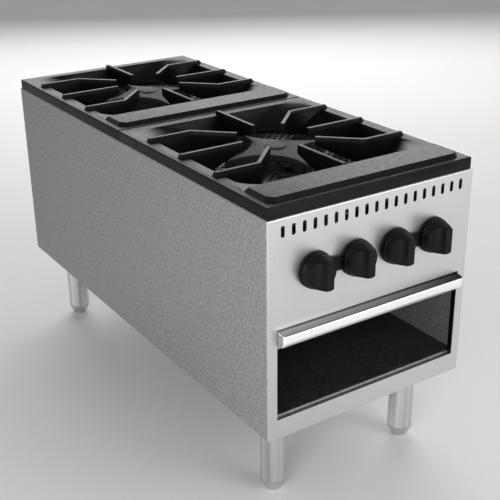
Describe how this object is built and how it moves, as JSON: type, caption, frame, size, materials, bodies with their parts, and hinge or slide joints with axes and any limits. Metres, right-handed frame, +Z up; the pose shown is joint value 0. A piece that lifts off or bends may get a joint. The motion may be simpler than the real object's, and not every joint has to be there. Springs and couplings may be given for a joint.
{
  "type": "stock pot range",
  "caption": "Low gas stock pot range with cast iron finger grates front and rear, front knobs, a pull-out crumb tray over an open cabinet, and steel legs.",
  "frame": {"origin": "on the floor under the middle of the body, half way between the knob fronts and the end of the gas inlet", "axes": "+Z up, +Y from the front with the knobs to the back, +X to the right as seen from the front"},
  "size_m": [0.4602, 1.1668, 0.628],
  "materials": {
    "aluminised": "matt aluminised",
    "aluminium_tube": "drawn",
    "black_plastic": "matt black",
    "brass": "machined",
    "burner_iron": "bare cast",
    "cast_iron": "satin black, rough cast",
    "front_steel": "satin",
    "galvanised": "galvanised",
    "gas_pipe": "black iron pipe",
    "leg_steel": "bright satin",
    "screw_steel": "zinc plated",
    "side_steel": "fine brushed",
    "stem_steel": "turned",
    "tray_steel": "satin"
  },
  "bodies": {
    "body": {"base_rails": "galvanised", "burner_rails": "galvanised", "floor_pan": "galvanised", "front_baffle": "aluminised", "front_burner_body": "burner_iron", "front_burner_cap": "burner_iron", "front_panel": "front_steel", "front_pilot_tube": "aluminium_tube", "heat_shields": "aluminised", "left_bezel": "black_plastic", "left_side_panel": "side_steel", "legs": "leg_steel", "manifold": "gas_pipe", "manifold_brackets": "galvanised", "manifold_elbow": "gas_pipe", "mixer_1": "burner_iron", "mixer_2": "burner_iron", "mixer_3": "burner_iron", "mixer_4": "burner_iron", "orifice_holders": "brass", "orifice_rail": "galvanised", "orifice_spuds": "brass", "pilot_cocks": "brass", "pilots": "stem_steel", "rear_baffle": "aluminised", "rear_burner_body": "burner_iron", "rear_burner_cap": "burner_iron", "rear_gas_tubes": "aluminium_tube", "rear_panel": "galvanised", "rear_pilot_tube": "aluminium_tube", "right_bezel": "black_plastic", "right_side_panel": "side_steel", "screws": "screw_steel", "supply_pipe": "gas_pipe", "top_rails": "galvanised", "tray_runners": "galvanised", "valve_1": "brass", "valve_2": "brass", "valve_3": "brass", "valve_4": "brass"},
    "knob_1": {"knob_1": "black_plastic", "stem_1": "stem_steel"},
    "knob_2": {"knob_2": "black_plastic", "stem_2": "stem_steel"},
    "knob_3": {"knob_3": "black_plastic", "stem_3": "stem_steel"},
    "knob_4": {"knob_4": "black_plastic", "stem_4": "stem_steel"},
    "air_shutter_1": {"air_shutter_1": "galvanised"},
    "air_shutter_2": {"air_shutter_2": "galvanised"},
    "air_shutter_3": {"air_shutter_3": "galvanised"},
    "air_shutter_4": {"air_shutter_4": "galvanised"},
    "crumb_tray": {"crumb_tray": "tray_steel"},
    "front_cast_top": {"front_cast_top": "cast_iron"},
    "rear_cast_top": {"rear_cast_top": "cast_iron"},
    "foot_1": {"foot_1": "leg_steel"},
    "foot_2": {"foot_2": "leg_steel"},
    "foot_3": {"foot_3": "leg_steel"},
    "foot_4": {"foot_4": "leg_steel"}
  },
  "joints": [
    {"name": "knob_1_turn", "type": "hinge", "parent": "body", "child": "knob_1", "pos_m": [-0.13425, -0.5374, 0.4905], "axis": [0, -1, 0], "range_deg": [0, 90]},
    {"name": "knob_2_turn", "type": "hinge", "parent": "body", "child": "knob_2", "pos_m": [-0.04475, -0.5374, 0.4905], "axis": [0, -1, 0], "range_deg": [0, 90]},
    {"name": "knob_3_turn", "type": "hinge", "parent": "body", "child": "knob_3", "pos_m": [0.04475, -0.5374, 0.4905], "axis": [0, -1, 0], "range_deg": [0, 90]},
    {"name": "knob_4_turn", "type": "hinge", "parent": "body", "child": "knob_4", "pos_m": [0.13425, -0.5374, 0.4905], "axis": [0, -1, 0], "range_deg": [0, 90]},
    {"name": "air_shutter_1_turn", "type": "hinge", "parent": "body", "child": "air_shutter_1", "pos_m": [-0.13425, -0.452, 0.4905], "axis": [0, 1, 0], "range_deg": [0, 90]},
    {"name": "air_shutter_2_turn", "type": "hinge", "parent": "body", "child": "air_shutter_2", "pos_m": [-0.04475, -0.452, 0.4905], "axis": [0, 1, 0], "range_deg": [0, 90]},
    {"name": "air_shutter_3_turn", "type": "hinge", "parent": "body", "child": "air_shutter_3", "pos_m": [0.04475, 0.0819, 0.4905], "axis": [0, 1, 0], "range_deg": [0, 90]},
    {"name": "air_shutter_4_turn", "type": "hinge", "parent": "body", "child": "air_shutter_4", "pos_m": [0.13425, 0.0819, 0.4905], "axis": [0, 1, 0], "range_deg": [0, 90]},
    {"name": "crumb_tray_slide", "type": "slide", "parent": "body", "child": "crumb_tray", "axis": [0, -1, 0], "range_m": [0, 0.7]},
    {"name": "front_cast_top_lift", "type": "slide", "parent": "body", "child": "front_cast_top", "axis": [0, 0, 1], "range_m": [0, 0.15]},
    {"name": "rear_cast_top_lift", "type": "slide", "parent": "body", "child": "rear_cast_top", "axis": [0, 0, 1], "range_m": [0, 0.15]},
    {"name": "foot_1_level", "type": "slide", "parent": "body", "child": "foot_1", "axis": [0, 0, -1], "range_m": [0, 0.025]},
    {"name": "foot_2_level", "type": "slide", "parent": "body", "child": "foot_2", "axis": [0, 0, -1], "range_m": [0, 0.025]},
    {"name": "foot_3_level", "type": "slide", "parent": "body", "child": "foot_3", "axis": [0, 0, -1], "range_m": [0, 0.025]},
    {"name": "foot_4_level", "type": "slide", "parent": "body", "child": "foot_4", "axis": [0, 0, -1], "range_m": [0, 0.025]}
  ]
}
